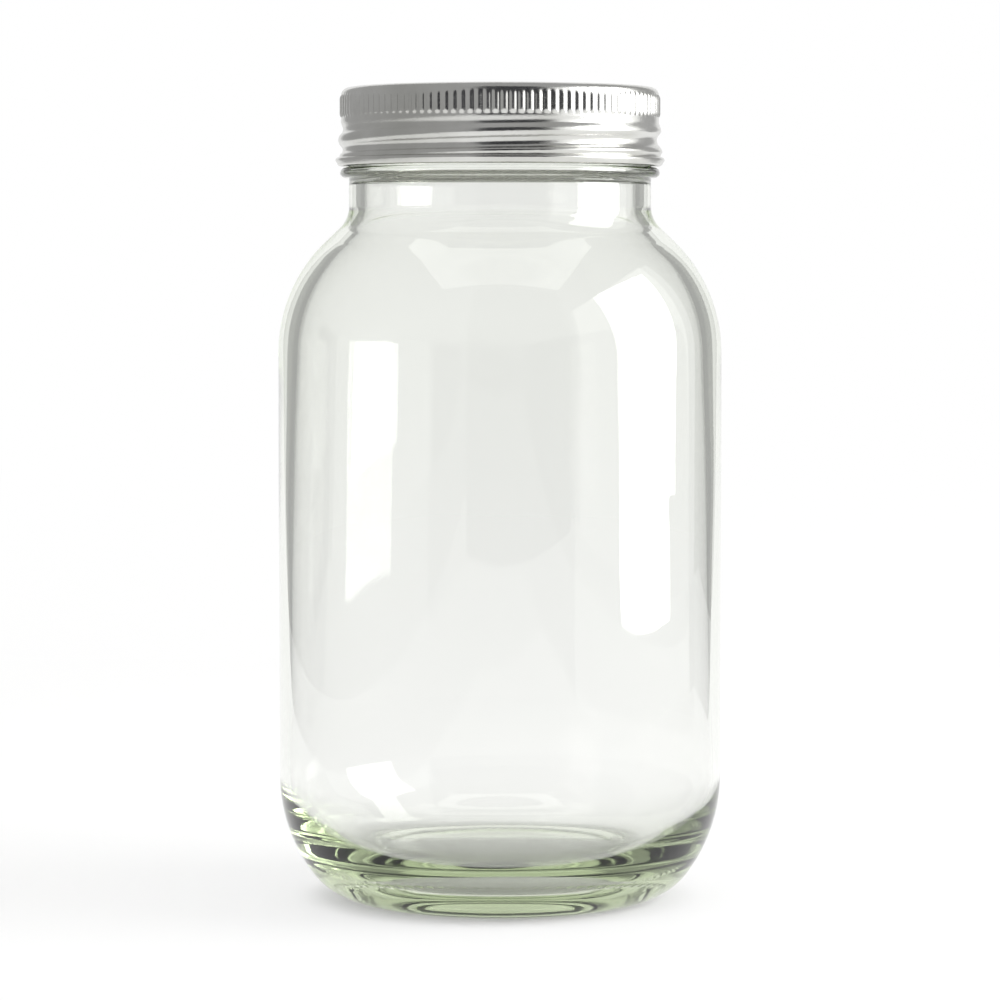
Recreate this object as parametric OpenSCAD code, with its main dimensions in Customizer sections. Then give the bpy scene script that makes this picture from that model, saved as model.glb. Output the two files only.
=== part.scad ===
// Starter jar: a round clear glass jar closed by a flat lid disc and a knurled screw band.
// Origin on the jar's axis at the surface it stands on, +Z up, sizes in millimetres.

/* [Jar body] */
// Outer diameter of the straight side
body_d = 98.8; // [94:0.2:110]
// Height of the glass from the bearing ring to the rim
jar_h = 179.2; // [150:0.2:220]
// Radius of the rounded shoulder
shoulder_r = 33.9; // [24:0.1:40]
// Slope of the shoulder where it meets the neck, from the horizontal
shoulder_slope = 46.4; // [38:0.1:50]
// Radius of the long curve from the side into the heel
heel_r = 36.3; // [28:0.1:42]
// Angle that the long heel curve turns through
heel_turn = 36.7; // [25:0.1:45]
// Radius of the tighter curve from the heel to the bearing ring
foot_r = 14.3; // [10:0.1:18]
// Width of the flat bearing ring
bearing_w = 2.2; // [1.5:0.1:4]
// Height of the pushed-up centre under the base
punt_h = 3; // [1.5:0.1:4.5]

/* [Neck and rim] */
// Outer diameter of the neck
neck_d = 67.2; // [66:0.1:67.8]
// Diameter of the mouth
mouth_d = 60.3; // [54:0.1:61]
// Distance from the rim down to where the neck starts to flare
neck_drop = 24.8; // [23:0.1:30]
// Radius of the hollow between neck and shoulder
neck_fillet_r = 6.6; // [4:0.1:8]
// Rounding of the rim's outer edge
rim_outer_r = 1.2; // [0.6:0.1:1.5]
// Rounding of the rim's inner edge
rim_inner_r = 0.9; // [0.4:0.1:1.2]
// Diameter over the bead below the band
bead_d = 71.1; // [69:0.1:73]
// Distance from the rim down to the middle of the bead
bead_drop = 17.4; // [17.2:0.1:18]
// Height of the bead
bead_h = 2.3; // [1.6:0.1:2.4]

/* [Glass thickness] */
// Thickness of the side wall just under the shoulder
wall_top = 4.2; // [2.5:0.1:5]
// Thickness of the side wall just above the heel
wall_low = 1.9; // [1.5:0.1:4]
// Thickness of the shoulder
shoulder_wall = 3.6; // [2.5:0.1:5]
// Rounding of the edge inside, where the mouth opens into the shoulder
mouth_fillet_r = 10; // [6:0.1:12]
// Height of the inside floor at its edge
floor_z = 7.4; // [6:0.1:10]
// Rise of the inside floor from its edge to its middle
floor_rise = 2.2; // [1:0.1:4]
// Radius of the curve from the inside wall to the floor
floor_r = 20; // [14:0.1:24]

/* [Thread] */
// Rise of the thread in one turn
lead = 5.08; // [4.6:0.02:5.6]
// Diameter over the glass thread
thread_d = 69.7; // [69.4:0.05:69.8]
// Height of the glass thread ridge where it leaves the neck
thread_w = 2.8; // [2:0.1:3.2]
// Length of the glass thread in turns, with its run-outs
thread_turns = 1.4; // [1:0.05:1.5]
// Distance from the rim down to the middle of the glass thread, on the left
thread_drop = 10.2; // [9.9:0.1:10.4]
// Angle from the left side up to the upper end of the glass thread
thread_end_turn = 204; // [150:1:220]

/* [Lid disc and seal] */
// Diameter of the lid disc
disc_d = 68.3; // [68:0.1:69]
// Sheet thickness of the lid disc
disc_t = 0.3; // [0.2:0.05:0.4]
// Depth of the lid disc's turned-down edge
disc_edge_h = 0.8; // [0.7:0.05:1.2]
// Fall of the sloping lip inside that edge
lip_fall = 0.4; // [0.35:0.05:0.5]
// Diameter of the lid disc's raised panel
panel_d = 57.6; // [50:0.1:58.4]
// Height of the raised panel over the rim of the disc
panel_rise = 0.3; // [0.1:0.05:0.35]
// Diameter of the shallow dish in the panel
dish_d = 44; // [30:0.5:48]
// Depth of the shallow dish
dish_depth = 0.2; // [0.1:0.05:0.3]
// Diameter of the button in the middle
button_d = 16; // [8:0.5:24]
// Height of the button over the dish
button_rise = 0.15; // [0.05:0.05:0.2]
// Inner diameter of the sealing ring
seal_in_d = 61.2; // [60.6:0.1:62]
// Outer diameter of the sealing ring
seal_out_d = 66.4; // [65:0.1:66.6]
// Thickness of the sealing ring
seal_t = 0.7; // [0.4:0.05:1]

/* [Screw band] */
// Diameter over the ribs of the grip
band_d = 71.2; // [71:0.1:72]
// Height of the band
band_h = 17.3; // [16.8:0.1:17.4]
// Sheet thickness of the band
band_t = 0.4; // [0.35:0.01:0.45]
// Clearance between the lid disc's raised panel and the edge of the opening in the band's top
open_clear = 1.4; // [0.4:0.1:2]
// Rounding of the band's top edge
band_corner_r = 1.7; // [1.2:0.1:2.2]
// Depth of the grip's slots
rib_depth = 0.3; // [0.15:0.05:0.35]
// Length of the ribs
rib_h = 4.9; // [3.5:0.1:5]
// Number of ribs round the band
rib_count = 120; // [90:2:140]
// Diameter over the rolled thread's bulge
bulge_d = 71.9; // [71.7:0.1:72.4]
// Depth of the rolled groove below the bulge
groove_depth = 1.1; // [0.9:0.05:1.1]
// Diameter over the curl at the band's lower edge
curl_d = 73.2; // [73:0.1:74]
// Width of the curl's flattened roll
curl_w = 1.3; // [1.2:0.05:1.4]
// Height of the curl's flattened roll
curl_h = 1.9; // [1.5:0.05:2.1]

/* [Hidden] */

// Half sizes
body_r = body_d / 2;
neck_r = neck_d / 2;
mouth_r = mouth_d / 2;
bead_r = bead_d / 2;
band_r = band_d / 2;
disc_r = disc_d / 2;
// The raised panel shows through the opening in the band's top
band_open_r = panel_d / 2 + open_clear;
// How far a cut runs past what it cuts
cut_past = 1;

// Outer outline of the glass, worked down from the neck
neck_end_z = jar_h - neck_drop;
slope_turn = 1 - cos(shoulder_slope);
slope_run = (body_r - neck_r - (neck_fillet_r + shoulder_r) * slope_turn) / sin(shoulder_slope);
side_top_z = neck_end_z - (neck_fillet_r + shoulder_r) * sin(shoulder_slope)
    - slope_run * cos(shoulder_slope);
neck_fillet_c = [neck_r + neck_fillet_r, neck_end_z];
shoulder_c = [body_r - shoulder_r, side_top_z];
slope_dir = [cos(shoulder_slope), sin(shoulder_slope)];

// Heel: a long curve and a tighter one that ends flat on the bearing ring
side_end_z = heel_r * sin(heel_turn) + foot_r * (1 - sin(heel_turn));
heel_c = [body_r - heel_r, side_end_z];
foot_c = heel_c + (heel_r - foot_r) * [cos(heel_turn), -sin(heel_turn)];
bearing_in_r = foot_c[0] - bearing_w;
punt_r = (bearing_in_r ^ 2 + punt_h ^ 2) / (2 * punt_h);

// Inside of the glass
inner_top_r = body_r - wall_top;
inner_low_r = body_r - wall_low;
inner_shoulder_r = shoulder_r - shoulder_wall;
inner_run = (inner_top_r - mouth_r - (mouth_fillet_r + inner_shoulder_r) * slope_turn)
    / sin(shoulder_slope);
mouth_end_z = side_top_z + (mouth_fillet_r + inner_shoulder_r) * sin(shoulder_slope)
    + inner_run * cos(shoulder_slope);
mouth_fillet_c = [mouth_r + mouth_fillet_r, mouth_end_z];
inner_shoulder_c = [inner_top_r - inner_shoulder_r, side_top_z];
floor_c = [inner_low_r - floor_r, floor_z + floor_r];
dome_r = (floor_c[0] ^ 2 + floor_rise ^ 2) / (2 * floor_rise);

// The left side of the jar, where both threads are measured
left_angle = 180;

// Glass thread: heights at the left, depth buried in the neck, and length of each run-out in degrees
ridge_left_z = jar_h - thread_drop;
ridge_bury = 0.6;
ridge_foot = 0.15;
ridge_round = 0.12;
ridge_corner = thread_w / 4;
ridge_crest = thread_w / 10;
ridge_fade = 50;
ridge_steps = 60;

// Heights of the band, which hangs from the lid disc
disc_top_z = jar_h + seal_t + disc_t;
band_top_z = disc_top_z + band_t;
band_low_z = band_top_z - band_h;

// Lid disc: width of each small slope in its sheet, and clearance of its lip under the band's corner
disc_step = 0.5;
lip_clear = 0.3;

// Grip at the top of the band, and the share of a rib's pitch at which each of its corners lies
grip_root_r = band_r - rib_depth;
grip_low_z = band_top_z - band_corner_r - rib_h;
grip_chamfer = 0.5;
rib_corners = [[0, 1], [0.46, 1], [0.62, 0], [0.84, 0]];
// The ribs stand on a surface just proud of the wall, so that the two never lie on each other
rib_proud = 0.02;

// Curl: a nearly closed flat roll that turns outwards from the wall and stops short of it
curl_r = curl_w / 2;
curl_c = [curl_d / 2 - curl_r, band_low_z + curl_r];
curl_top_z = band_low_z + curl_h - curl_r;
curl_wall_r = curl_c[0] - curl_r;
curl_gap = 0.2;

// Rolled thread: its sheet is thinner than the plain wall and meets it inside both of its faces,
// with a plain collar above the curl and another below the grip
roll_step = 0.05;
roll_t = band_t - 2 * roll_step;
curl_collar = 0.3;
grip_collar = 0.1;
roll_low_z = band_low_z + curl_h + curl_collar;
roll_high_z = grip_low_z - grip_collar;
roll_mid_r = (bulge_d - groove_depth) / 2;
roll_steps = 96;
roll_row_count = 12;
// The groove lies half a turn's rise below the glass ridge
groove_left_z = ridge_left_z - lead / 2;
// Heights where the groove starts to die out, and between which the wall widens from it to the grip
groove_fade_z = groove_left_z + 0.8 * lead;
widen_low_z = groove_left_z + 0.7 * lead;
widen_high_z = groove_left_z + 1.1 * lead;
// Height at which the flare above the curl ends
flare_end_z = groove_left_z + 0.2 * lead;

$fn = 144;

// Pie slice of a disc about a centre, between two angles under a half turn apart
module slice(centre, r, from, to) {
    reach = 2 * r;
    middle = (from + to) / 2;
    translate(centre) intersection() {
        circle(r);
        polygon([[0, 0], reach * [cos(from), sin(from)], reach * [cos(middle), sin(middle)],
            reach * [cos(to), sin(to)]]);
    }
}

module outer_outline() {
    difference() {
        union() {
            polygon([[0, 0], [foot_c[0], 0],
                heel_c + heel_r * [cos(heel_turn), -sin(heel_turn)],
                [body_r, side_end_z], [body_r, side_top_z],
                shoulder_c + shoulder_r * slope_dir,
                neck_fillet_c - neck_fillet_r * slope_dir,
                [neck_r, neck_end_z], [neck_r, jar_h - rim_outer_r],
                [neck_r - rim_outer_r, jar_h], [0, jar_h]]);
            slice(foot_c, foot_r, -90, -heel_turn);
            slice(heel_c, heel_r, -heel_turn, 0);
            slice(shoulder_c, shoulder_r, 0, shoulder_slope);
            slice([neck_r - rim_outer_r, jar_h - rim_outer_r], rim_outer_r, 0, 90);
            bead_outline();
        }
        slice(neck_fillet_c, neck_fillet_r, 180, 180 + shoulder_slope);
        translate([0, punt_h - punt_r]) circle(punt_r);
    }
}

module bead_outline() {
    r = bead_h / 2;
    translate([bead_r - r, jar_h - bead_drop]) {
        circle(r);
        translate([neck_r - bead_r, -r]) square([bead_r - neck_r, bead_h]);
    }
}

module cavity_outline() {
    above = jar_h + cut_past;
    difference() {
        union() {
            polygon([[0, floor_z], [floor_c[0], floor_z], [inner_low_r, floor_c[1]],
                [inner_top_r, side_top_z],
                inner_shoulder_c + inner_shoulder_r * slope_dir,
                mouth_fillet_c - mouth_fillet_r * slope_dir,
                [mouth_r, mouth_end_z], [mouth_r, jar_h - rim_inner_r],
                [mouth_r + rim_inner_r, jar_h], [mouth_r + rim_inner_r, above], [0, above]]);
            slice(floor_c, floor_r, -90, 0);
            slice(inner_shoulder_c, inner_shoulder_r, 0, shoulder_slope);
        }
        slice(mouth_fillet_c, mouth_fillet_r, 180, 180 + shoulder_slope);
        slice([mouth_r + rim_inner_r, jar_h - rim_inner_r], rim_inner_r, 90, 180);
        translate([0, floor_z + floor_rise - dome_r]) circle(dome_r);
    }
}

// Half of the ridge's section as heights from its middle and radii, for a share of its full height
function ridge_half(share) =
    let (foot_r = neck_r - ridge_foot, crest_r = foot_r + (thread_d / 2 - foot_r) * share,
        flank = thread_w / 2)
    [[flank, neck_r - ridge_bury], [flank, foot_r], [ridge_corner, crest_r - ridge_round * share],
     [ridge_crest, crest_r]];

function ridge_section(share) =
    let (upper = ridge_half(share))
    concat([for (p = upper) [-p[0], p[1]]], [for (k = [3:-1:0]) upper[k]]);

// Share of the full height at a distance in degrees from the nearer end
function run_out(distance) = (1 - cos(180 * min(1, distance / ridge_fade))) / 2;

module thread_ridge() {
    sweep = thread_turns * 360;
    rings = ceil(thread_turns * ridge_steps);
    sections = [for (i = [0:rings])
        let (back = sweep * i / rings, turn = thread_end_turn - back, angle = left_angle + turn,
            z = ridge_left_z + lead * turn / 360,
            section = ridge_section(run_out(min(back, sweep - back))))
        [for (p = section) [p[1] * cos(angle), p[1] * sin(angle), z + p[0]]]];
    sides = len(sections[0]);
    points = [for (s = sections) for (p = s) p];
    quads = [for (i = [0:rings - 1]) for (k = [0:sides - 1])
        let (a = i * sides + k, b = i * sides + (k + 1) % sides, c = b + sides, d = a + sides)
        each [[a, c, b], [a, d, c]]];
    end = rings * sides;
    first = [for (k = [1:sides - 2]) [0, k, k + 1]];
    last = [for (k = [1:sides - 2]) [end, end + k + 1, end + k]];
    polyhedron(points, concat(quads, first, last));
}

module glass_jar() {
    color([0.84, 0.88, 0.86, 0.4]) union() {
        rotate_extrude() difference() {
            outer_outline();
            cavity_outline();
        }
        thread_ridge();
    }
}

module lid_disc() {
    lip_r = grip_root_r - band_corner_r - lip_clear;
    panel = disc_top_z + panel_rise;
    dish = panel - dish_depth;
    button = dish + button_rise;
    face = [[0, button], [button_d / 2 - disc_step, button], [button_d / 2, dish],
        [dish_d / 2 - disc_step, dish], [dish_d / 2, panel], [panel_d / 2 - disc_step, panel],
        [panel_d / 2, disc_top_z], [lip_r, disc_top_z]];
    edge = [[disc_r, disc_top_z - lip_fall], [disc_r, disc_top_z - disc_edge_h],
        [disc_r - disc_t, disc_top_z - disc_edge_h],
        [disc_r - disc_t, disc_top_z - lip_fall - disc_t / 2]];
    back = [for (i = [len(face) - 1:-1:0]) face[i] - [0, disc_t]];
    color([0.8, 0.8, 0.79]) rotate_extrude() polygon(concat(face, edge, back));
}

module sealing_ring() {
    color([0.75, 0.72, 0.66]) translate([0, 0, jar_h]) difference() {
        cylinder(d = seal_out_d, h = seal_t);
        translate([0, 0, -cut_past]) cylinder(d = seal_in_d, h = seal_t + 2 * cut_past);
    }
}

// Rises smoothly from 0 to 1 as x passes from low to high
function blend(x, low, high) =
    let (t = max(0, min(1, (x - low) / (high - low)))) t * t * (3 - 2 * t);

// Share of the full thread depth left at a height: it dies out before the grip and the curl
function roll_share(z) =
    blend(z, roll_low_z, groove_left_z) * (1 - blend(z, groove_fade_z, roll_high_z));

// Mean radius of the rolled sheet's outer face at a height
function roll_mean(z) =
    let (low = curl_wall_r + band_t - roll_step, high = grip_root_r - roll_step,
        from_curl = blend(z, roll_low_z, flare_end_z),
        to_grip = blend(z, widen_low_z, widen_high_z))
    low + (roll_mid_r - low) * from_curl + (high - roll_mid_r) * to_grip;

function roll_outer(angle, z) =
    let (groove_z = groove_left_z + lead * (angle - left_angle) / 360,
        phase = 360 * (z - groove_z) / lead)
    roll_mean(z) - groove_depth / 2 * cos(phase) * roll_share(z);

module rolled_sheet() {
    rows = [for (j = [0:roll_row_count]) roll_low_z + (roll_high_z - roll_low_z) * j / roll_row_count];
    n = roll_steps;
    // The band's outline at one angle: up the outer face and down the inner face
    loop = concat([for (z = rows) [z, 0]], [for (j = [roll_row_count:-1:0]) [rows[j], roll_t]]);
    m = len(loop);
    points = [for (i = [0:n - 1]) for (p = loop)
        let (angle = 360 * i / n, r = roll_outer(angle, p[0]) - p[1])
        [r * cos(angle), r * sin(angle), p[0]]];
    faces = [for (i = [0:n - 1]) for (k = [0:m - 1])
        let (a = i * m + k, b = i * m + (k + 1) % m, c = ((i + 1) % n) * m + (k + 1) % m,
            d = ((i + 1) % n) * m + k)
        each [[a, b, c], [a, c, d]]];
    polyhedron(points, faces);
}

module band_top_outline() {
    inner_r = grip_root_r - band_t;
    corner = [grip_root_r - band_corner_r, band_top_z - band_corner_r];
    difference() {
        union() {
            translate([0, band_top_z - band_t]) square([corner[0], band_t]);
            translate([inner_r, roll_high_z]) square([band_t, corner[1] - roll_high_z]);
            difference() {
                slice(corner, band_corner_r, 0, 90);
                translate(corner) circle(band_corner_r - band_t);
            }
        }
        translate([0, roll_high_z]) square([band_open_r, band_top_z - roll_high_z + cut_past]);
    }
}

// Two half circles, one over the other, joined by straight sides
module flat_roll(r) {
    translate(curl_c) circle(r);
    translate([curl_c[0], curl_top_z]) circle(r);
    translate([curl_c[0] - r, curl_c[1]]) square([2 * r, curl_top_z - curl_c[1]]);
}

module curl_outline() {
    translate([curl_wall_r, curl_c[1]]) square([band_t, roll_low_z - curl_c[1]]);
    difference() {
        flat_roll(curl_r);
        flat_roll(curl_r - band_t);
        translate([curl_wall_r + band_t, curl_top_z]) square([curl_gap, curl_h]);
    }
}

// Grip: a ring of flat-crested ribs, chamfered at both ends
module grip() {
    outline = [for (i = [0:rib_count - 1]) for (p = rib_corners)
        let (angle = 360 * (i + p[0]) / rib_count, r = grip_root_r + rib_proud + rib_depth * p[1])
        [r * cos(angle), r * sin(angle)]];
    inner_r = grip_root_r - band_t / 2;
    reach_r = grip_root_r + grip_chamfer;
    top_z = grip_low_z + rib_h;
    intersection() {
        translate([0, 0, grip_low_z]) linear_extrude(rib_h) difference() {
            polygon(outline);
            circle(inner_r);
        }
        rotate_extrude() polygon([[0, grip_low_z], [grip_root_r, grip_low_z],
            [reach_r, grip_low_z + grip_chamfer], [reach_r, top_z - grip_chamfer],
            [grip_root_r, top_z], [0, top_z]]);
    }
}

module screw_band() {
    color([0.72, 0.72, 0.7]) union() {
        rotate_extrude() band_top_outline();
        rotate_extrude() curl_outline();
        grip();
        rolled_sheet();
    }
}

glass_jar();
lid_disc();
sealing_ring();
screw_band();
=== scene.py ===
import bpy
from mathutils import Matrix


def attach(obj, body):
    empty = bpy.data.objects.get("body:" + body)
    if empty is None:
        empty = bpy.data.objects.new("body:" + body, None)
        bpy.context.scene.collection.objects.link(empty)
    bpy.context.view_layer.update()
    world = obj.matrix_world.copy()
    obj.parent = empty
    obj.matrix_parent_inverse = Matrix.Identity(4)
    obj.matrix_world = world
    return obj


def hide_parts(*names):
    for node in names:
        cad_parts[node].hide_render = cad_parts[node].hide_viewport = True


bl_info = {
    "name": "Glass starter jar",
    "version": (1, 0, 0),
    "blender": (4, 5, 0),
    "location": "View3D > Sidebar > Starter jar",
    "description": "Makes a glass starter jar with its two-piece screw closure, and a small studio for it",
    "category": "Add Mesh",
}

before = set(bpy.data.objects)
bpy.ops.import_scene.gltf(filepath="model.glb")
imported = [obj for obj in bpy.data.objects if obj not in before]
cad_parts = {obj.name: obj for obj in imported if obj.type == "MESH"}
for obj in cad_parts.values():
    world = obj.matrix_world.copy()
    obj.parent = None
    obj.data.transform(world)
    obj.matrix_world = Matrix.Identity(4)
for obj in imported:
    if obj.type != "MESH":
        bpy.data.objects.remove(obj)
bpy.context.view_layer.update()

import math

import bmesh
import bpy
from mathutils import Vector, noise

MM = 0.001
# The left side of the jar, where the rises of both threads are measured
LEFT = math.pi
MERGE = 1e-6
# Plain strip between a worked zone and the next
PLAIN = 0.1 * MM

# The moulded glass ripples above this height and outside this radius
RIPPLE_FROM_Z = 10 * MM
RIPPLE_FROM_R = 38 * MM
# Ripples for each metre, their stretch in height, and how much larger they are inside
RIPPLE_SCALE = 45
RIPPLE_STRETCH = 0.6
RIPPLE_INSIDE = 2.5
# Share of the thread's half height that is its flat crest
RIDGE_CREST = 0.15

# A rib's crest and foot, in shares of its pitch from its middle
RIB_CREST = 0.22
RIB_FOOT = 0.4
# Shape of the rolled thread's wave: 1 is a plain wave, and less is squarer
ROLL_POWER = 0.75
# Places on the rolled wall, in leads above the groove at the left: where the wall has widened,
# where it begins and ends to narrow to the grip, and where the thread begins to run out
WIDENED = 0.2
NARROW_FROM = 0.7
NARROWED = 1.1
RUN_OUT = 0.8

# Each lamp's place, the point it looks at, its width and its height, in metres
WINDOW = ((0.78, -0.1, 0.37), (0, 0, 0.12), 0.56, 0.7)
WALL = ((1.3, -0.4, 0.6), (0, -0.4, 0.6), 2.2, 1.4)
OVERHEAD = ((0, -0.1, 1.2), (0, 0, 0.12), 1.2, 1.2)
# The paper: its front edge, where it bends up, its back, its top, and its sides
FLOOR_FRONT, FLOOR_BEND, PAPER_BACK, PAPER_TOP = -2.0, 0.5, 0.9, 1.6
FLOOR_SIDES = (-0.45, 0.8)
BACKDROP_SIDES = (-0.45, 0.45)
# Where the floor begins and ends to turn fully white behind the jar
WHITE_FROM, WHITE_AT = 0.35, 0.7
# The dark screen behind the camera: its place, its top and its sides
SCREEN_Y, SCREEN_TOP = -1.0, 1.3
SCREEN_SIDES = (-0.3, 0.72)


def length(name, millimetres, description):
    """A size given in millimetres, as a length property."""
    return bpy.props.FloatProperty(
        name=name, description=description, default=millimetres * MM, unit="LENGTH", precision=5)


def angle(name, degrees, description):
    """An angle given in degrees, as an angle property."""
    return bpy.props.FloatProperty(
        name=name, description=description, default=math.radians(degrees), subtype="ANGLE")


def number(name, value, description):
    """A plain number as a property."""
    return bpy.props.FloatProperty(name=name, description=description, default=value)


def count(name, value, description):
    """A whole number as a property."""
    return bpy.props.IntProperty(name=name, description=description, default=value, min=3)


def colour(name, value, description):
    """A colour property."""
    return bpy.props.FloatVectorProperty(
        name=name, description=description, default=value, size=3, subtype="COLOR", min=0, max=1)


class JarGlass(bpy.types.PropertyGroup):
    """Sizes and colour of the glass."""
    body_d: length("Body", 98.8, "Diameter of the body")
    jar_h: length("Height", 179.2, "Height of the glass to its rim")
    shoulder_r: length("Shoulder radius", 33.9, "Radius of the shoulder's curve")
    shoulder_slope: angle("Shoulder turn", 46.4, "How far the shoulder turns before it meets the neck")
    heel_r: length("Heel radius", 36.3, "Radius of the long curve at the heel")
    heel_turn: angle("Heel turn", 36.7, "How far the long heel curve turns")
    foot_r: length("Foot radius", 14.3, "Radius of the tighter curve at the foot")
    bearing_w: length("Bearing ring", 2.2, "Width of the ring that the jar stands on")
    bearing_rise: length("Stipple", 0.2, "Height of the stippling on the bearing ring")
    punt_h: length("Push-up", 3.0, "Height of the pushed-up base")
    stipples: count("Stipples", 72, "Bumps round the bearing ring")
    neck_d: length("Neck", 67.2, "Outer diameter of the neck")
    mouth_d: length("Mouth", 60.3, "Inner diameter of the mouth")
    neck_drop: length("Neck drop", 24.8, "From the rim down to the end of the straight neck")
    neck_fillet_r: length("Neck fillet", 6.6, "Radius between the neck and the shoulder")
    rim_outer_r: length("Rim outer edge", 1.2, "Radius of the rim's outer edge")
    rim_inner_r: length("Rim inner edge", 0.9, "Radius of the rim's inner edge")
    bead_d: length("Bead", 71.1, "Diameter of the bead under the closure")
    bead_drop: length("Bead drop", 17.4, "From the rim down to the middle of the bead")
    bead_h: length("Bead height", 2.3, "Height of the bead")
    wall_top: length("Upper wall", 4.2, "Wall thickness at the top of the body")
    wall_low: length("Lower wall", 1.9, "Wall thickness at the heel")
    shoulder_wall: length("Shoulder wall", 3.6, "How much smaller the shoulder's inner radius is")
    mouth_fillet_r: length("Inner neck fillet", 10.0, "Inner radius between the neck and the shoulder")
    floor_z: length("Floor", 7.4, "Height of the floor's lowest ring")
    floor_rise: length("Floor dome", 2.2, "Rise of the floor to its middle")
    floor_r: length("Floor edge", 20.0, "Inner radius between the floor and the wall")
    lead: length("Thread lead", 5.08, "Rise of the thread in one turn")
    thread_d: length("Thread", 69.7, "Diameter over the thread")
    thread_w: length("Thread width", 2.8, "Height of the thread's section")
    thread_drop: length("Thread drop", 10.2, "From the rim down to the thread at the left")
    thread_turns: number("Thread turns", 1.4, "Turns of the thread")
    thread_end_turn: angle("Thread end", 204, "How far past the left side the thread runs up")
    thread_fade: angle("Run-out", 50, "Length of the thread's run-out at each end")
    ripple: length("Ripple", 0.05, "Unevenness of the moulded glass")
    steps: count("Steps round", 360, "Faces round the jar")
    tint: colour("Tint", (0.787, 0.833, 0.70), "Colour that thick glass takes")
    tint_density: number("Tint density", 40.0, "How quickly the glass takes its tint, for each metre")
    ior: number("Refraction", 1.51, "Refractive index of the glass")
    clearness: number("Clearness", 0.97, "Share of the light that each surface of the glass lets through")


class BandMetal(bpy.types.PropertyGroup):
    """Sizes and colours of the screw band."""
    grip_d: length("Grip root", 70.6, "Diameter at the roots of the ribs")
    top_z: length("Top", 180.6, "Height of the band's top face")
    wall: length("Sheet", 0.4, "Thickness of the sheet")
    open_d: length("Opening", 60.4, "Diameter of the opening in the top")
    corner_r: length("Corner", 1.7, "Radius of the top corner")
    rib_depth: length("Rib depth", 0.3, "How far the ribs stand out")
    rib_h: length("Rib length", 4.9, "Height of the ribs")
    rib_fade: length("Rib ends", 0.6, "Length over which the ribs end")
    ribs: count("Ribs", 120, "Ribs round the grip")
    rib_columns: count("Columns in a rib", 6, "Faces round each rib")
    groove_depth: length("Groove depth", 1.1, "Depth of the rolled thread")
    bulge_d: length("Bulge", 71.9, "Diameter over the rolled thread")
    curl_d: length("Curl", 73.2, "Diameter over the curl")
    curl_w: length("Curl width", 1.3, "Width of the rolled edge")
    curl_h: length("Curl height", 1.9, "Height of the rolled edge")
    curl_lean: length("Curl lean", 0.4, "How far the rolled edge leans in at its foot")
    collar: length("Collar", 0.3, "Plain wall between the curl and the rolled thread")
    low_z: length("Bottom", 163.3, "Height of the band's lower edge")
    tin: colour("Metal", (0.74, 0.74, 0.72), "Colour of the tinned sheet")
    tin_dark: colour("Dull metal", (0.58, 0.58, 0.55), "Colour of the duller patches")
    roughness: number("Roughness", 0.21, "Roughness of the satin metal")


class LidMetal(bpy.types.PropertyGroup):
    """Colours of the lid disc and its seal."""
    tin: colour("Lid metal", (0.78, 0.78, 0.76), "Colour of the lid disc")
    tin_dark: colour("Dull lid metal", (0.66, 0.66, 0.63), "Colour of the duller patches")
    roughness: number("Lid roughness", 0.24, "Roughness of the lid disc")
    compound: colour("Seal", (0.62, 0.58, 0.52), "Colour of the sealing compound")
    compound_dark: colour("Dark seal", (0.5, 0.46, 0.4), "Colour of the compound's darker patches")


class StudioLook(bpy.types.PropertyGroup):
    """Camera, lamps and backdrop."""
    camera_distance: length("Camera distance", 865, "From the jar's axis to the camera")
    camera_height: length("Camera height", 145, "Height of the camera")
    lens: number("Lens", 139.5, "Focal length in millimetres on a 36 mm frame")
    aim_z: length("Aim", 88.9, "Height on the jar's axis that the camera looks at")
    floor_colour: colour("Floor", (0.93, 0.93, 0.92), "Colour of the floor and backdrop")
    floor_lift: number("Floor lift", 0.72, "Share of the floor's own white that the camera sees")
    window_power: number("Window lamp", 7.0, "Power of the window lamp in watts")
    wall_power: number("Bright wall", 8.5, "Power of the large pale wall on the right in watts")
    top_power: number("Top lamp", 8.0, "Power of the overhead lamp in watts")
    surround: number("Surround", 0.42, "Brightness of the room around the jar")
    # Painted contact shade: round the jar's foot the floor's own white is mostly taken away, so the floor
    # there shows darker over the real shadow
    shade_r: length("Contact shade", 29, "Radius within which the floor under the jar lies in shade")
    shade_soft: length("Shade edge", 16, "Width over which that shade ends")
    shade_share: number("Shade depth", 0.1, "Share of the floor's own white that is left there")
    bounces: count("Bounces", 24, "Times that light may turn inside the glass")
    screen_colour: colour("Dark screen", (0.03, 0.03, 0.035), "Colour of the screen behind the camera")


def arc(centre, radius, start, end, steps):
    """Points along a circle about (r, z), from one angle in radians to another."""
    return [(centre[0] + radius * math.cos(start + (end - start) * i / steps),
             centre[1] + radius * math.sin(start + (end - start) * i / steps)) for i in range(steps + 1)]


def line(start, end, steps):
    """Points along a straight stretch between two (r, z)."""
    return [(start[0] + (end[0] - start[0]) * i / steps,
             start[1] + (end[1] - start[1]) * i / steps) for i in range(steps + 1)]


def blend(x, low, high):
    """Rises smoothly from 0 to 1 as x passes from low to high."""
    t = max(0.0, min(1.0, (x - low) / (high - low)))
    return t * t * (3 - 2 * t)


def spin_outline(outline, closed, steps):
    """A bmesh with an (r, z) outline spun round the jar's axis, its seam and poles closed."""
    bm = bmesh.new()
    points = [bm.verts.new((max(r, 0.0), 0, z)) for r, z in outline]
    edges = [bm.edges.new(pair) for pair in zip(points, points[1:])]
    if closed:
        edges.append(bm.edges.new((points[-1], points[0])))
    bmesh.ops.spin(bm, geom=points + edges, cent=(0, 0, 0), axis=(0, 0, 1), angle=math.tau,
                   steps=steps, use_merge=True)
    bmesh.ops.remove_doubles(bm, verts=bm.verts, dist=MERGE)
    bmesh.ops.recalc_face_normals(bm, faces=bm.faces)
    return bm


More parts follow.
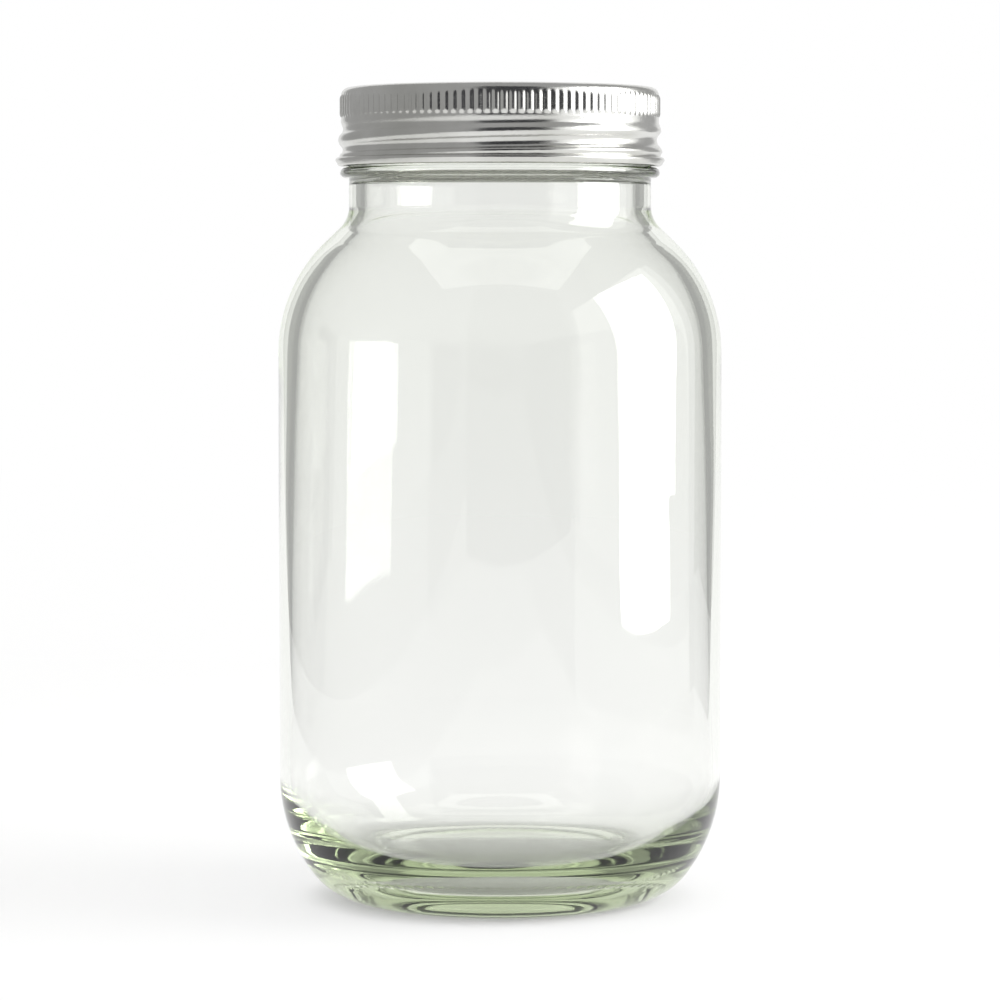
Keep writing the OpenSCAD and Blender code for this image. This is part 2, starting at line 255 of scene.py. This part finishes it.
def finish_piece(bm, name, body, material, nodes):
    """Turns a bmesh into a smooth piece that rides on a body and stands for its CAD nodes."""
    mesh = bpy.data.meshes.new(name)
    bm.to_mesh(mesh)
    bm.free()
    mesh.shade_smooth()
    mesh.materials.append(material)
    piece = bpy.data.objects.new(name, mesh)
    bpy.context.scene.collection.objects.link(piece)
    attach(piece, body)
    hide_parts(*nodes)


def new_material(name):
    """An empty node material with its shader and its object coordinates."""
    material = bpy.data.materials.new(name)
    material.use_nodes = True
    nodes = material.node_tree.nodes
    shader = nodes["Principled BSDF"]
    coordinates = nodes.new("ShaderNodeTexCoord")
    return material, nodes, material.node_tree.links, shader, coordinates.outputs["Object"]


def add_noise(nodes, links, coordinates, scale, detail, stretch=(1, 1, 1)):
    """Noise on the object's coordinates, stretched along its axes."""
    mapping = nodes.new("ShaderNodeMapping")
    mapping.inputs["Scale"].default_value = stretch
    links.new(coordinates, mapping.inputs["Vector"])
    texture = nodes.new("ShaderNodeTexNoise")
    texture.inputs["Scale"].default_value = scale
    texture.inputs["Detail"].default_value = detail
    links.new(mapping.outputs["Vector"], texture.inputs["Vector"])
    return texture.outputs["Fac"]


def add_range(nodes, links, value, low, high, start=0.3, end=0.7):
    """Goes from low to high as a value goes from start to end, which suit a noise."""
    spread = nodes.new("ShaderNodeMapRange")
    spread.inputs["From Min"].default_value = start
    spread.inputs["From Max"].default_value = end
    spread.inputs["To Min"].default_value = low
    spread.inputs["To Max"].default_value = high
    links.new(value, spread.inputs["Value"])
    return spread.outputs["Result"]


def add_mix(nodes, links, share, first, second):
    """Mixes two colours by a share."""
    mix = nodes.new("ShaderNodeMix")
    mix.data_type = "RGBA"
    mix.inputs[6].default_value = (*first, 1)
    mix.inputs[7].default_value = (*second, 1)
    links.new(share, mix.inputs["Factor"])
    return mix.outputs[2]


def add_math(nodes, links, operation, first, second):
    """A sum on two values of a material."""
    node = nodes.new("ShaderNodeMath")
    node.operation = operation
    links.new(first, node.inputs[0])
    links.new(second, node.inputs[1])
    return node.outputs[0]


def add_bump(nodes, links, height, shader, distance, strength):
    """Bump from a height, linked to the shader."""
    bump = nodes.new("ShaderNodeBump")
    bump.inputs["Distance"].default_value = distance
    bump.inputs["Strength"].default_value = strength
    links.new(height, bump.inputs["Height"])
    links.new(bump.outputs["Normal"], shader.inputs["Normal"])


def glass_material(look):
    """Clear moulded glass, faintly green where it is thick."""
    material, nodes, links, shader, coordinates = new_material("jar_glass")
    shader.inputs["Base Color"].default_value = (look.clearness, look.clearness, look.clearness, 1)
    shader.inputs["Transmission Weight"].default_value = 1
    shader.inputs["IOR"].default_value = look.ior
    smears = add_noise(nodes, links, coordinates, scale=28, detail=4)
    links.new(add_range(nodes, links, smears, 0.0, 0.035), shader.inputs["Roughness"])
    waves = add_noise(nodes, links, coordinates, scale=45, detail=1, stretch=(1, 1, 0.5))
    add_bump(nodes, links, waves, shader, distance=0.6 * MM, strength=0.08)
    body = nodes.new("ShaderNodeVolumeAbsorption")
    body.inputs["Color"].default_value = (*look.tint, 1)
    body.inputs["Density"].default_value = look.tint_density
    links.new(body.outputs["Volume"], nodes["Material Output"].inputs["Volume"])
    return material


def tin_material(name, bright, dull, roughness, grain):
    """Satin tinned sheet with fine rolled grain and duller patches."""
    material, nodes, links, shader, coordinates = new_material(name)
    shader.inputs["Metallic"].default_value = 1
    patches = add_noise(nodes, links, coordinates, scale=60, detail=5)
    patched = add_mix(nodes, links, add_range(nodes, links, patches, 0, 1), bright, dull)
    links.new(patched, shader.inputs["Base Color"])
    fine = add_noise(nodes, links, coordinates, scale=900, detail=3, stretch=grain)
    links.new(add_range(nodes, links, fine, roughness * 0.8, roughness * 1.25), shader.inputs["Roughness"])
    add_bump(nodes, links, fine, shader, distance=0.04 * MM, strength=0.35)
    return material


def compound_material(look):
    """Matt flowed-in sealing compound."""
    material, nodes, links, shader, coordinates = new_material("sealing_compound")
    patches = add_noise(nodes, links, coordinates, scale=120, detail=4)
    share = add_range(nodes, links, patches, 0, 1)
    links.new(add_mix(nodes, links, share, look.compound, look.compound_dark), shader.inputs["Base Color"])
    links.new(add_range(nodes, links, patches, 0.55, 0.75), shader.inputs["Roughness"])
    grains = add_noise(nodes, links, coordinates, scale=1500, detail=2)
    add_bump(nodes, links, grains, shader, distance=0.05 * MM, strength=0.4)
    return material


def glass_outline(g):
    """The glass's section from the middle of its base, up the outside, over the rim and down inside."""
    body_r, neck_r, mouth_r = g.body_d / 2, g.neck_d / 2, g.mouth_d / 2
    turn, flat = g.shoulder_slope, 1 - math.cos(g.shoulder_slope)
    neck_end = g.jar_h - g.neck_drop
    slope_run = (body_r - neck_r - (g.neck_fillet_r + g.shoulder_r) * flat) / math.sin(turn)
    side_top = neck_end - (g.neck_fillet_r + g.shoulder_r) * math.sin(turn) - slope_run * math.cos(turn)
    side_end = g.heel_r * math.sin(g.heel_turn) + g.foot_r * (1 - math.sin(g.heel_turn))
    heel = Vector((body_r - g.heel_r, side_end))
    foot = heel + (g.heel_r - g.foot_r) * Vector((math.cos(g.heel_turn), -math.sin(g.heel_turn)))
    ring_in = foot.x - g.bearing_w
    punt_r = (ring_in ** 2 + g.punt_h ** 2) / (2 * g.punt_h)
    punt_turn = math.asin(ring_in / punt_r)
    quarter = math.pi / 2
    bead_r = g.bead_h / 2
    bead = (g.bead_d / 2 - bead_r, g.jar_h - g.bead_drop)
    rim = (neck_r - g.rim_outer_r, g.jar_h - g.rim_outer_r)
    outside = (
        arc((0, g.punt_h - punt_r), punt_r, quarter, quarter - punt_turn, 16)
        + line((ring_in, 0), (foot.x, 0), 8)
        + arc(foot, g.foot_r, -quarter, -g.heel_turn, 12)
        + arc(heel, g.heel_r, -g.heel_turn, 0, 14)
        + line((body_r, side_end), (body_r, side_top), 24)
        + arc((body_r - g.shoulder_r, side_top), g.shoulder_r, 0, turn, 16)
        + arc((neck_r + g.neck_fillet_r, neck_end), g.neck_fillet_r, math.pi + turn, math.pi, 8)
        + line((neck_r, neck_end), (neck_r, bead[1] - bead_r), 4)
        + arc(bead, bead_r, -quarter, quarter, 8)
        + line((neck_r, bead[1] + bead_r), (neck_r, rim[1]), 40)
        + arc(rim, g.rim_outer_r, 0, quarter, 5))
    inner_top, inner_low = body_r - g.wall_top, body_r - g.wall_low
    inner_shoulder_r = g.shoulder_r - g.shoulder_wall
    inner_run = (inner_top - mouth_r - (g.mouth_fillet_r + inner_shoulder_r) * flat) / math.sin(turn)
    mouth_end = side_top + (g.mouth_fillet_r + inner_shoulder_r) * math.sin(turn) \
        + inner_run * math.cos(turn)
    floor = (inner_low - g.floor_r, g.floor_z + g.floor_r)
    dome_r = (floor[0] ** 2 + g.floor_rise ** 2) / (2 * g.floor_rise)
    dome_turn = math.asin(floor[0] / dome_r)
    inside = (
        arc((mouth_r + g.rim_inner_r, g.jar_h - g.rim_inner_r), g.rim_inner_r, quarter, math.pi, 4)
        + line((mouth_r, g.jar_h - g.rim_inner_r), (mouth_r, mouth_end), 8)
        + arc((mouth_r + g.mouth_fillet_r, mouth_end), g.mouth_fillet_r, math.pi, math.pi + turn, 8)
        + arc((inner_top - inner_shoulder_r, side_top), inner_shoulder_r, turn, 0, 14)
        + line((inner_top, side_top), (inner_low, floor[1]), 20)
        + arc(floor, g.floor_r, 0, -quarter, 12)
        + arc((0, g.floor_z + g.floor_rise - dome_r), dome_r, quarter - dome_turn, quarter, 12))
    return outside + inside


def ridge_share(g, turn, z):
    """Share of the thread's full height at an angle past the left side and a height."""
    length_round = g.thread_turns * math.tau
    share = 0.0
    for lap in (-2, -1, 0, 1):
        along = turn + lap * math.tau
        back = g.thread_end_turn - along
        if 0 <= back <= length_round:
            middle = g.jar_h - g.thread_drop + g.lead * along / math.tau
            flank = abs(z - middle) / (g.thread_w / 2)
            fade = blend(min(back, length_round - back), 0, g.thread_fade)
            share = max(share, fade * (1 - blend(flank, RIDGE_CREST, 1)))
    return share


def shape_glass(bm, g):
    """Raises the thread on the neck and the stipples under the bearing ring, and ripples the walls."""
    neck_r = g.neck_d / 2
    thread_low = g.jar_h - g.bead_drop + g.bead_h / 2 + PLAIN
    thread_high = g.jar_h - g.rim_outer_r
    foot_x = g.body_d / 2 - g.heel_r + (g.heel_r - g.foot_r) * math.cos(g.heel_turn)
    ring_in = foot_x - g.bearing_w
    for vert in bm.verts:
        x, y, z = vert.co
        r = math.hypot(x, y)
        if r < MERGE:
            continue
        turn = math.atan2(y, x) - LEFT
        if thread_low < z < thread_high and r > neck_r - MERGE:
            grow = (g.thread_d / 2 - neck_r) * ridge_share(g, turn % math.tau, z)
        elif z < MERGE and ring_in - MERGE < r < foot_x + MERGE:
            across = math.sin(math.pi * (r - ring_in) / g.bearing_w)
            wave = 0.5 + 0.5 * math.cos(turn * g.stipples)
            vert.co.z += g.bearing_rise * (1 - across * wave)
            grow = 0
        elif z > RIPPLE_FROM_Z and r > RIPPLE_FROM_R:
            inside = vert.normal.x * x + vert.normal.y * y < 0
            wave = noise.noise(Vector((x, y, z * RIPPLE_STRETCH)) * RIPPLE_SCALE)
            grow = g.ripple * (RIPPLE_INSIDE if inside else 1) * wave
        else:
            grow = 0
        vert.co.x += grow * x / r
        vert.co.y += grow * y / r


def sheet_path(b):
    """The middle of the band's sheet from the opening in its top down to the end of its curl."""
    half = b.wall / 2
    root_r = b.grip_d / 2 - half
    corner = (root_r + half - b.corner_r, b.top_z - b.corner_r)
    roll_r = b.curl_w / 2 - half
    curl_high = (b.curl_d / 2 - b.curl_w / 2, b.low_z + b.curl_h - b.curl_w / 2)
    curl_low = (curl_high[0] - b.curl_lean, b.low_z + b.curl_w / 2)
    roll_low = b.low_z + b.curl_h + b.collar
    return (
        line((b.open_d / 2, b.top_z - half), (corner[0], b.top_z - half), 5)
        + arc(corner, b.corner_r - half, math.pi / 2, 0, 7)[1:]
        + line((root_r, corner[1]), (root_r, corner[1] - b.rib_h), 12)[1:]
        + line((root_r, corner[1] - b.rib_h), (curl_high[0] - roll_r, roll_low), 30)[1:]
        + arc(curl_low, roll_r, math.pi, math.tau, 8)
        + arc(curl_high, roll_r, 0, math.pi * 0.85, 7))


def thicken(path, wall):
    """The closed outline of a sheet whose middle follows a path."""
    sides = ([], [])
    for i, (r, z) in enumerate(path):
        before, after = path[max(i - 1, 0)], path[min(i + 1, len(path) - 1)]
        along = Vector((after[0] - before[0], after[1] - before[1])).normalized()
        sides[0].append((r - along.y * wall / 2, z + along.x * wall / 2))
        sides[1].append((r + along.y * wall / 2, z - along.x * wall / 2))
    return sides[0] + sides[1][::-1]


def shape_band(bm, b, g):
    """Presses the ribs into the grip and rolls the thread into the wall below it."""
    grip_high = b.top_z - b.corner_r
    grip_low = grip_high - b.rib_h
    roll_low = b.low_z + b.curl_h + b.collar
    roll_high = grip_low - PLAIN
    groove_left = g.jar_h - g.thread_drop - g.lead / 2
    root_r = b.grip_d / 2
    curl_wall = b.curl_d / 2 - b.curl_w + b.wall
    middle = (b.bulge_d - b.groove_depth) / 2
    for vert in bm.verts:
        x, y, z = vert.co
        r = math.hypot(x, y)
        turn = math.atan2(y, x)
        grow = 0.0
        if grip_low < z < grip_high and r > root_r - 2 * b.wall:
            phase = (turn * b.ribs / math.tau) % 1
            crest = 1 - blend(abs(phase - 0.5), RIB_CREST, RIB_FOOT)
            ends = blend(z, grip_low, grip_low + b.rib_fade) \
                * (1 - blend(z, grip_high - b.rib_fade, grip_high))
            grow = b.rib_depth * crest * ends
        elif roll_low < z < roll_high and r > root_r - 2 * b.wall:
            straight = root_r + (curl_wall - root_r) * (grip_low - z) / (grip_low - roll_low)
            groove_z = groove_left + g.lead * (turn - LEFT) / math.tau
            share = blend(z, roll_low, groove_left) \
                * (1 - blend(z, groove_left + RUN_OUT * g.lead, roll_high))
            widen = blend(z, roll_low, groove_left + WIDENED * g.lead)
            narrow = blend(z, groove_left + NARROW_FROM * g.lead, groove_left + NARROWED * g.lead)
            mean = curl_wall + (middle - curl_wall) * widen + (root_r - middle) * narrow
            wave = math.cos(math.tau * (z - groove_z) / g.lead)
            wave = math.copysign(abs(wave) ** ROLL_POWER, wave)
            grow = mean - straight - b.groove_depth / 2 * wave * share
        vert.co.x += grow * x / r
        vert.co.y += grow * y / r


class JAR_OT_glass(bpy.types.Operator):
    """Makes the glass jar with its neck, bead, thread and stippled bearing ring."""
    bl_idname = "starter_jar.add_glass"
    bl_label = "Add glass jar"

    def execute(self, context):
        g = context.scene.jar_glass
        bm = spin_outline(glass_outline(g), False, g.steps)
        bm.normal_update()
        shape_glass(bm, g)
        finish_piece(bm, "glass_jar_body", "jar", glass_material(g), ("glass_jar",))
        return {"FINISHED"}


class JAR_OT_band(bpy.types.Operator):
    """Makes the screw band with its ribbed grip, rolled thread and curled edge."""
    bl_idname = "starter_jar.add_band"
    bl_label = "Add screw band"

    def execute(self, context):
        b = context.scene.jar_band
        bm = spin_outline(thicken(sheet_path(b), b.wall), True, b.ribs * b.rib_columns)
        shape_band(bm, b, context.scene.jar_glass)
        metal = tin_material("band_tin", b.tin, b.tin_dark, b.roughness, (1, 1, 6))
        finish_piece(bm, "screw_band_sheet", "band", metal, ("screw_band",))
        return {"FINISHED"}


class JAR_OT_lid(bpy.types.Operator):
    """Gives the lid disc and its sealing ring their finish."""
    bl_idname = "starter_jar.dress_lid"
    bl_label = "Dress lid"

    def execute(self, context):
        look = context.scene.jar_lid
        finishes = {
            "lid_disc": tin_material("lid_tin", look.tin, look.tin_dark, look.roughness, (1, 1, 1)),
            "sealing_ring": compound_material(look),
        }
        for node, material in finishes.items():
            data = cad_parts[node].data
            data.materials.clear()
            data.materials.append(material)
        return {"FINISHED"}


def add_lamp(name, place, target, width, height, power, mirrored=True):
    """A soft rectangular lamp that the camera doesn't see, and gloss only if it is mirrored."""
    data = bpy.data.lights.new(name, "AREA")
    data.shape = "RECTANGLE"
    data.size = width
    data.size_y = height
    data.energy = power
    lamp = bpy.data.objects.new(name, data)
    lamp.location = place
    lamp.rotation_euler = (Vector(target) - Vector(place)).to_track_quat("-Z", "Y").to_euler()
    lamp.visible_glossy = mirrored
    lamp.visible_camera = False
    bpy.context.scene.collection.objects.link(lamp)


def backdrop_material(look):
    """White paper: the camera, metal and glass see it white, and it keeps the jar's shadow. Round the
    jar's foot its own white is mostly taken away, a painted contact shade that deepens the real shadow
    there.
    """
    material, nodes, links, shader, coordinates = new_material("backdrop_paper")
    shader.inputs["Base Color"].default_value = (*look.floor_colour, 1)
    shader.inputs["Roughness"].default_value = 0.9
    shader.inputs["Specular IOR Level"].default_value = 0.1
    glow = nodes.new("ShaderNodeEmission")
    glow.inputs["Strength"].default_value = 1
    rays = nodes.new("ShaderNodeLightPath").outputs
    seen = add_math(nodes, links, "MAXIMUM", rays["Is Camera Ray"], rays["Is Glossy Ray"])
    seen = add_math(nodes, links, "MAXIMUM", seen, rays["Is Transmission Ray"])
    split = nodes.new("ShaderNodeSeparateXYZ")
    links.new(coordinates, split.inputs[0])
    rise = add_range(nodes, links, split.outputs["Y"], look.floor_lift, 1, WHITE_FROM, WHITE_AT)
    away = nodes.new("ShaderNodeVectorMath")
    away.operation = "LENGTH"
    links.new(coordinates, away.inputs[0])
    # Painted contact shade: the floor's own white fades out in a disc round the jar's axis, so the lit
    # floor and its real shadow show darker there
    shade_end = look.shade_r + look.shade_soft
    shade = add_range(nodes, links, away.outputs["Value"], look.shade_share, 1, look.shade_r, shade_end)
    share = add_math(nodes, links, "MULTIPLY", rise, shade)
    share = add_math(nodes, links, "MULTIPLY", share, seen)
    mix = nodes.new("ShaderNodeMixShader")
    links.new(share, mix.inputs["Fac"])
    links.new(shader.outputs["BSDF"], mix.inputs[1])
    links.new(glow.outputs["Emission"], mix.inputs[2])
    links.new(mix.outputs["Shader"], nodes["Material Output"].inputs["Surface"])
    return material


def screen_material(look):
    """Dark cloth of the screen that the metal and the glass reflect."""
    material, nodes, links, shader, coordinates = new_material("screen_cloth")
    weave = add_noise(nodes, links, coordinates, scale=400, detail=2)
    shader.inputs["Base Color"].default_value = (*look.screen_colour, 1)
    links.new(add_range(nodes, links, weave, 0.8, 1), shader.inputs["Roughness"])
    return material


def add_sheet(name, outline, sides, material):
    """A stage surface: an outline of (y, z) drawn out from its left side to its right."""
    left, right = sides
    bm = bmesh.new()
    points = [bm.verts.new((left, y, z)) for y, z in outline]
    edges = [bm.edges.new(pair) for pair in zip(points, points[1:])]
    grown = bmesh.ops.extrude_edge_only(bm, edges=edges)
    moved = [part for part in grown["geom"] if isinstance(part, bmesh.types.BMVert)]
    bmesh.ops.translate(bm, verts=moved, vec=(right - left, 0, 0))
    mesh = bpy.data.meshes.new(name)
    bm.to_mesh(mesh)
    bm.free()
    mesh.shade_smooth()
    mesh.materials.append(material)
    sheet = bpy.data.objects.new(name, mesh)
    bpy.context.scene.collection.objects.link(sheet)
    return sheet


class JAR_OT_studio(bpy.types.Operator):
    """Sets up the camera, the lamps, the pale floor and the backdrop."""
    bl_idname = "starter_jar.add_studio"
    bl_label = "Add studio"

    def execute(self, context):
        look = context.scene.jar_studio
        scene = context.scene
        camera_data = bpy.data.cameras.new("camera")
        camera_data.lens = look.lens
        camera_data.sensor_width = 36
        camera = bpy.data.objects.new("camera", camera_data)
        camera.location = (0, -look.camera_distance, look.camera_height)
        tilt = math.atan2(look.aim_z - look.camera_height, look.camera_distance)
        camera.rotation_euler = (math.pi / 2 + tilt, 0, 0)
        scene.collection.objects.link(camera)
        scene.camera = camera
        add_lamp("window_lamp", *WINDOW, look.window_power)
        add_lamp("wall_lamp", *WALL, look.wall_power)
        add_lamp("top_lamp", *OVERHEAD, look.top_power, mirrored=False)
        paper = backdrop_material(look)
        add_sheet("studio_floor", [(FLOOR_FRONT, 0), (FLOOR_BEND, 0)], FLOOR_SIDES, paper)
        cove_r = PAPER_BACK - FLOOR_BEND
        cove = arc((FLOOR_BEND, cove_r), cove_r, -math.pi / 2, 0, 10)
        add_sheet("backdrop", cove + [(PAPER_BACK, PAPER_TOP)], BACKDROP_SIDES, paper)
        cloth = screen_material(look)
        screen = add_sheet("dark_screen", [(SCREEN_Y, 0), (SCREEN_Y, SCREEN_TOP)], SCREEN_SIDES, cloth)
        screen.visible_camera = False
        screen.visible_transmission = False
        world = bpy.data.worlds.new("studio")
        world.use_nodes = True
        nodes, links = world.node_tree.nodes, world.node_tree.links
        rays = nodes.new("ShaderNodeLightPath").outputs
        level = add_range(nodes, links, rays["Is Camera Ray"], look.surround, 1, 0, 1)
        links.new(level, nodes["Background"].inputs["Strength"])
        nodes["Background"].inputs["Color"].default_value = (1, 1, 1, 1)
        scene.world = world
        scene.view_settings.view_transform = "Standard"
        scene.cycles.max_bounces = look.bounces
        scene.cycles.glossy_bounces = look.bounces
        scene.cycles.transmission_bounces = look.bounces
        return {"FINISHED"}


class JAR_PT_panel(bpy.types.Panel):
    """Lists the steps that make the jar."""
    bl_label = "Starter jar"
    bl_idname = "JAR_PT_panel"
    bl_space_type = "VIEW_3D"
    bl_region_type = "UI"
    bl_category = "Starter jar"

    def draw(self, context):
        for operator in OPERATORS:
            self.layout.operator(operator.bl_idname)


OPERATORS = (JAR_OT_studio, JAR_OT_glass, JAR_OT_band, JAR_OT_lid)
GROUPS = {"jar_glass": JarGlass, "jar_band": BandMetal, "jar_lid": LidMetal, "jar_studio": StudioLook}


def register():
    for cls in (*GROUPS.values(), *OPERATORS, JAR_PT_panel):
        bpy.utils.register_class(cls)
    for name, group in GROUPS.items():
        setattr(bpy.types.Scene, name, bpy.props.PointerProperty(type=group))


def unregister():
    for name in GROUPS:
        delattr(bpy.types.Scene, name)
    for cls in reversed((*GROUPS.values(), *OPERATORS, JAR_PT_panel)):
        bpy.utils.unregister_class(cls)


def main():
    """Makes the studio and every piece."""
    register()
    bpy.ops.starter_jar.add_studio()
    bpy.ops.starter_jar.add_glass()
    bpy.ops.starter_jar.add_band()
    bpy.ops.starter_jar.dress_lid()


if __name__ == "__main__":
    main()
